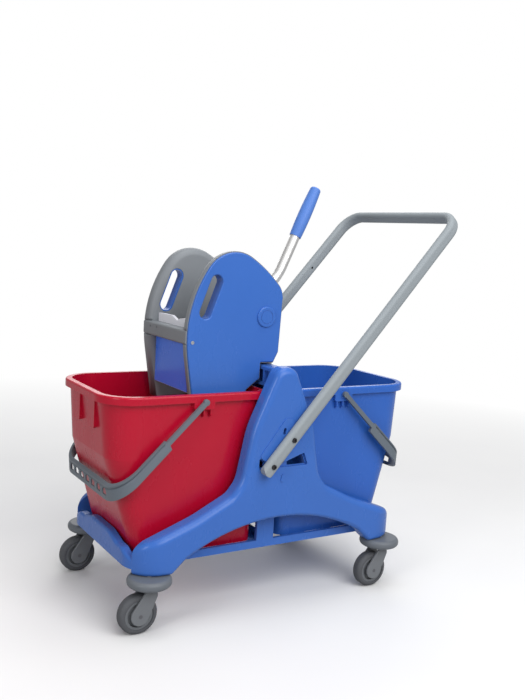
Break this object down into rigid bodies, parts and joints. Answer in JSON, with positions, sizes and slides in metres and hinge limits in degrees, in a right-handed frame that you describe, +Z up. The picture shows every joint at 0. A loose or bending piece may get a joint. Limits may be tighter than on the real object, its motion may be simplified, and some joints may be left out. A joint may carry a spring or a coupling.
{
  "type": "mop bucket trolley",
  "caption": "Wheeled mop trolley with side-by-side buckets, a lever press wringer hung on the frame between them, swivel casters and a leaning push handle.",
  "frame": {"origin": "on the floor, below the middle of the wheelbase", "axes": "+X along the length towards the push handle and blue bucket, +Y across towards the far side, +Z up"},
  "size_m": [0.7801, 0.4142, 0.8584],
  "materials": {
    "blue_plastic": "moulded, satin",
    "red_plastic": "moulded, satin",
    "grey_plastic": "moulded, matte",
    "pale_plastic": "moulded, matte",
    "handle_paint": "powder coated, satin",
    "dark_bolt": "blackened",
    "steel": "plain",
    "bright_tube": "bright plated",
    "tyre_rubber": "matte"
  },
  "bodies": {
    "chassis": {"side_frame_near": "blue_plastic", "side_frame_far": "blue_plastic", "base_tray": "blue_plastic", "end_rail_red": "blue_plastic", "end_rail_blue": "blue_plastic", "cross_beam": "blue_plastic", "push_handle": "handle_paint", "handle_end_plugs": "grey_plastic", "handle_bolts": "dark_bolt", "red_bucket": "red_plastic", "caster_red_near_bumper": "grey_plastic", "caster_red_far_bumper": "grey_plastic", "caster_blue_near_bumper": "grey_plastic", "caster_blue_far_bumper": "grey_plastic"},
    "red_bail": {"red_bail": "grey_plastic"},
    "blue_bucket": {"blue_bucket": "blue_plastic"},
    "blue_bail": {"blue_bail": "grey_plastic"},
    "wringer": {"wringer_side_near": "grey_plastic", "wringer_side_far": "grey_plastic", "wringer_cover_near": "blue_plastic", "wringer_cover_far": "blue_plastic", "axle_cap_near": "blue_plastic", "axle_cap_far": "blue_plastic", "wringer_front_bar": "grey_plastic", "wringer_front_panel": "blue_plastic", "wringer_jaw_plate": "pale_plastic", "wringer_hook_bar": "grey_plastic", "axle_bushes": "pale_plastic", "wringer_screws": "steel", "return_spring_near": "steel", "return_spring_far": "steel"},
    "lever": {"press_axle": "steel", "lever_tube": "bright_tube", "lever_grip": "blue_plastic", "lever_hub": "grey_plastic", "press_plate": "grey_plastic"},
    "swivel_red_near": {"caster_red_near_stem": "steel", "caster_red_near_fork": "grey_plastic", "caster_red_near_axle": "steel"},
    "wheel_red_near": {"caster_red_near_hub": "grey_plastic", "caster_red_near_tyre": "tyre_rubber"},
    "swivel_red_far": {"caster_red_far_stem": "steel", "caster_red_far_fork": "grey_plastic", "caster_red_far_axle": "steel"},
    "wheel_red_far": {"caster_red_far_hub": "grey_plastic", "caster_red_far_tyre": "tyre_rubber"},
    "swivel_blue_near": {"caster_blue_near_stem": "steel", "caster_blue_near_fork": "grey_plastic", "caster_blue_near_axle": "steel"},
    "wheel_blue_near": {"caster_blue_near_hub": "grey_plastic", "caster_blue_near_tyre": "tyre_rubber"},
    "swivel_blue_far": {"caster_blue_far_stem": "steel", "caster_blue_far_fork": "grey_plastic", "caster_blue_far_axle": "steel"},
    "wheel_blue_far": {"caster_blue_far_hub": "grey_plastic", "caster_blue_far_tyre": "tyre_rubber"}
  },
  "joints": [
    {"name": "lever_press", "type": "hinge", "parent": "wringer", "child": "lever", "pos_m": [-0.013, 0, 0.584], "axis": [0, 1, 0], "range_deg": [0, 46], "stiffness_Nm_per_rad": 3, "springref_deg": -20.05, "deforming": ["return_spring_near", "return_spring_far"]},
    {"name": "wringer_lift", "type": "slide", "parent": "chassis", "child": "wringer", "axis": [0, 0, 1], "range_m": [0, 0.25]},
    {"name": "red_bail_swing", "type": "hinge", "parent": "chassis", "child": "red_bail", "pos_m": [-0.1647, 0, 0.426], "axis": [0, 1, 0], "range_deg": [0, 110]},
    {"name": "blue_bucket_lift", "type": "slide", "parent": "chassis", "child": "blue_bucket", "axis": [0, 0, 1], "range_m": [0, 0.035]},
    {"name": "blue_bail_swing", "type": "hinge", "parent": "blue_bucket", "child": "blue_bail", "pos_m": [0.1647, 0, 0.426], "axis": [0, -1, 0], "range_deg": [0, 140]},
    {"name": "swivel_red_near", "type": "hinge", "parent": "chassis", "child": "swivel_red_near", "pos_m": [-0.274, -0.1646, 0.0884], "axis": [0, 0, 1], "continuous": true},
    {"name": "wheel_spin_red_near", "type": "hinge", "parent": "swivel_red_near", "child": "wheel_red_near", "pos_m": [-0.2965, -0.1646, 0.038], "axis": [0, 1, 0], "continuous": true},
    {"name": "swivel_red_far", "type": "hinge", "parent": "chassis", "child": "swivel_red_far", "pos_m": [-0.274, 0.1646, 0.0884], "axis": [0, 0, 1], "continuous": true},
    {"name": "wheel_spin_red_far", "type": "hinge", "parent": "swivel_red_far", "child": "wheel_red_far", "pos_m": [-0.2965, 0.1646, 0.038], "axis": [0, 1, 0], "continuous": true},
    {"name": "swivel_blue_near", "type": "hinge", "parent": "chassis", "child": "swivel_blue_near", "pos_m": [0.274, -0.1646, 0.0884], "axis": [0, 0, 1], "continuous": true},
    {"name": "wheel_spin_blue_near", "type": "hinge", "parent": "swivel_blue_near", "child": "wheel_blue_near", "pos_m": [0.2515, -0.1646, 0.038], "axis": [0, 1, 0], "continuous": true},
    {"name": "swivel_blue_far", "type": "hinge", "parent": "chassis", "child": "swivel_blue_far", "pos_m": [0.274, 0.1646, 0.0884], "axis": [0, 0, 1], "continuous": true},
    {"name": "wheel_spin_blue_far", "type": "hinge", "parent": "swivel_blue_far", "child": "wheel_blue_far", "pos_m": [0.2515, 0.1646, 0.038], "axis": [0, 1, 0], "continuous": true}
  ]
}
